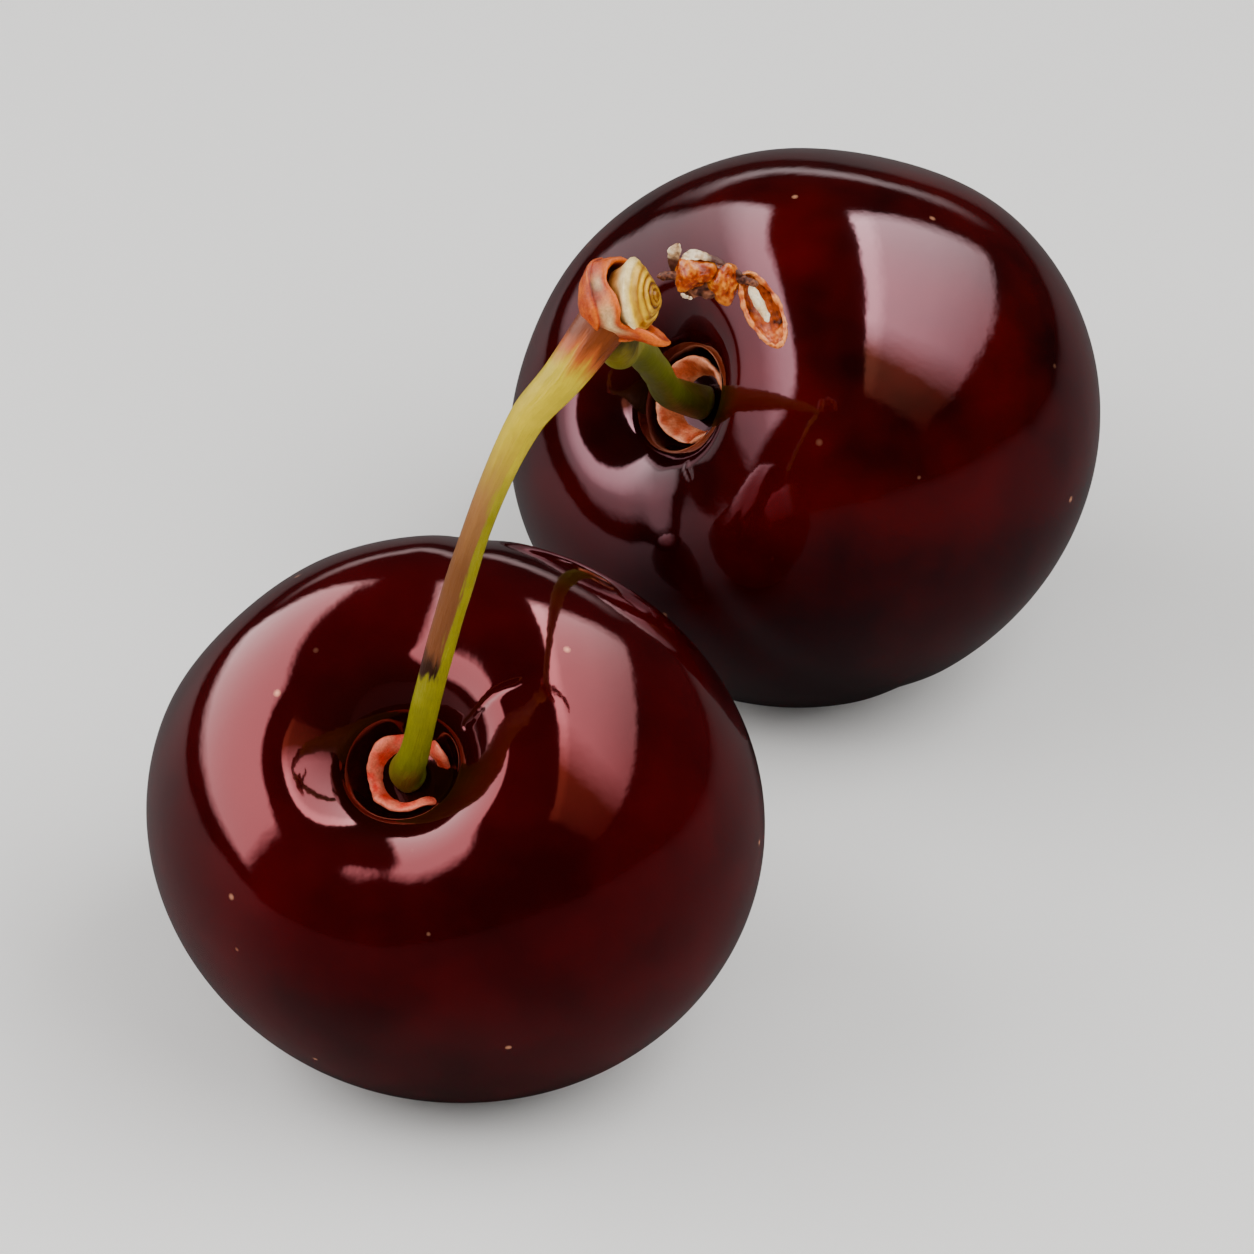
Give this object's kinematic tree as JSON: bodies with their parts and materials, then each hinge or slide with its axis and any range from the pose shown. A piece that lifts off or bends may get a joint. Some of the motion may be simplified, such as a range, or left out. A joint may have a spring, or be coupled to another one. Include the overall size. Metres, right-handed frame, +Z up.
{
  "type": "pair of sweet cherries on stalks",
  "caption": "Dark sweet cherries joined by curved stalks at one woody spur, lying on a surface with the stalks arching up.",
  "frame": {"origin": "middle of the pair's footprint on the surface it lies on", "axes": "+Z up; +Y from the front fruit towards the back fruit, the pair's longest extent; +X to the right seen from the front"},
  "size_m": [0.0452, 0.0576, 0.0497],
  "materials": {
    "cherry_skin": "waxy high gloss, deep burgundy to near black",
    "green_stalk": "satin, yellow-green with brown streaks",
    "receptacle": "torn, coral pink",
    "dried_bract": "dry, orange brown, crumpled",
    "spur_wood": "dry, cream to yellow green with ring scars",
    "papery_scale": "dry, thin, grey white"
  },
  "bodies": {
    "root": {"cherry_front": "cherry_skin", "cherry_back": "cherry_skin", "stalk_front": "green_stalk", "stalk_back": "green_stalk", "receptacle_front": "receptacle", "receptacle_back": "receptacle", "bract_cuff": "dried_bract", "ring_scar_knob": "spur_wood", "dried_bract_inner": "dried_bract", "dried_bract_outer": "dried_bract", "hanging_scale": "dried_bract", "papery_scale_low": "papery_scale", "papery_scale_high": "papery_scale", "papery_scale_front": "papery_scale"}
  },
  "joints": []
}
